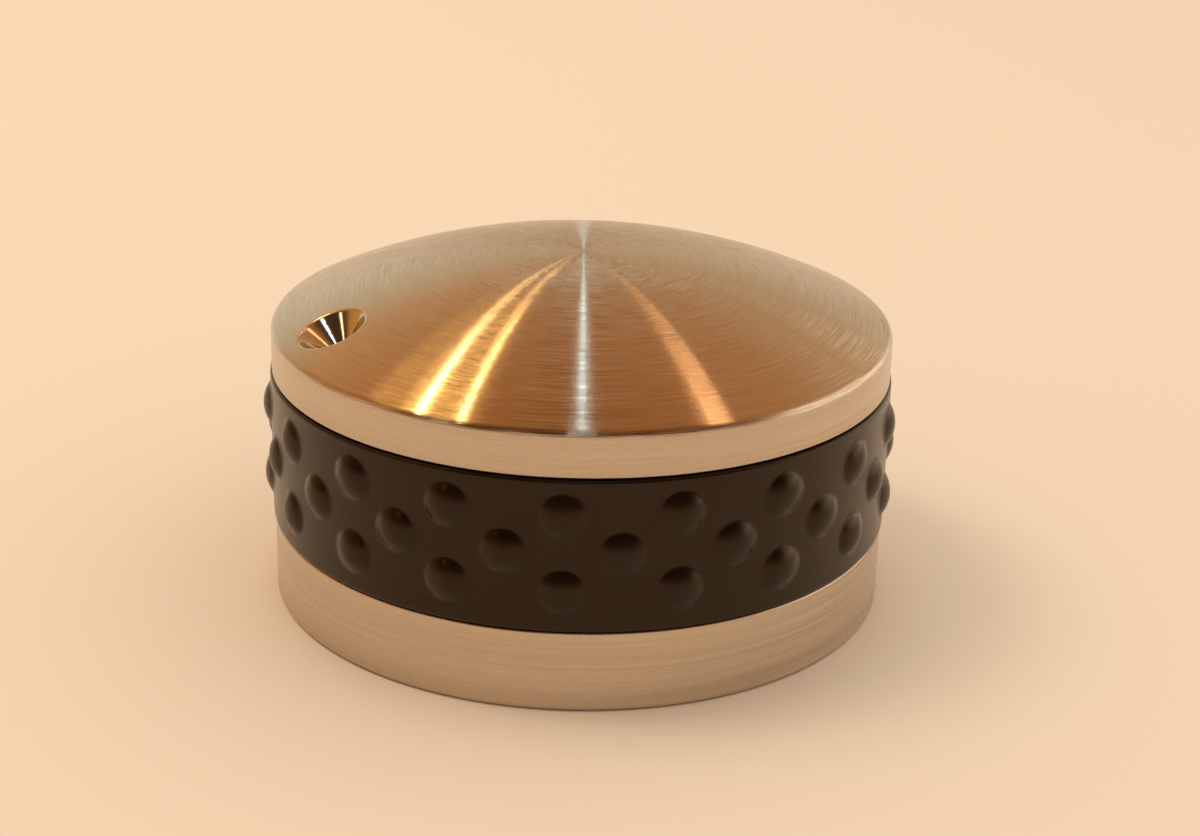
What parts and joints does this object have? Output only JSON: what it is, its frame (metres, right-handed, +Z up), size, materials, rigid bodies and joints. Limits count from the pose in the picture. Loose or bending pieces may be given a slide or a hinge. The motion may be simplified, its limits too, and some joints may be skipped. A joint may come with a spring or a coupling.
{
  "type": "stove knob",
  "caption": "Domed push-on stove knob of turned steel with a studded rubber grip band, a countersunk pointer dimple and a hollow underside with a D-socket hub.",
  "frame": {"origin": "centre of the base rim, on the surface that the knob stands on", "axes": "+Z up the knob's axis towards the dome, -Y towards the pointer dimple"},
  "size_m": [0.0462, 0.0462, 0.0253],
  "materials": {
    "turned_steel": "turned on the bands and dome, with a polished pointer dimple",
    "grip_rubber": "satin moulded rubber",
    "hub_moulding": "moulded black glass-filled nylon",
    "spring_steel": "bright rolled strip",
    "screw_steel": "bright zinc plate"
  },
  "bodies": {
    "root": {"knob_body": "turned_steel", "grip_band": "grip_rubber", "hub_insert": "hub_moulding", "leaf_spring": "spring_steel", "hub_screws": "screw_steel"}
  },
  "joints": []
}
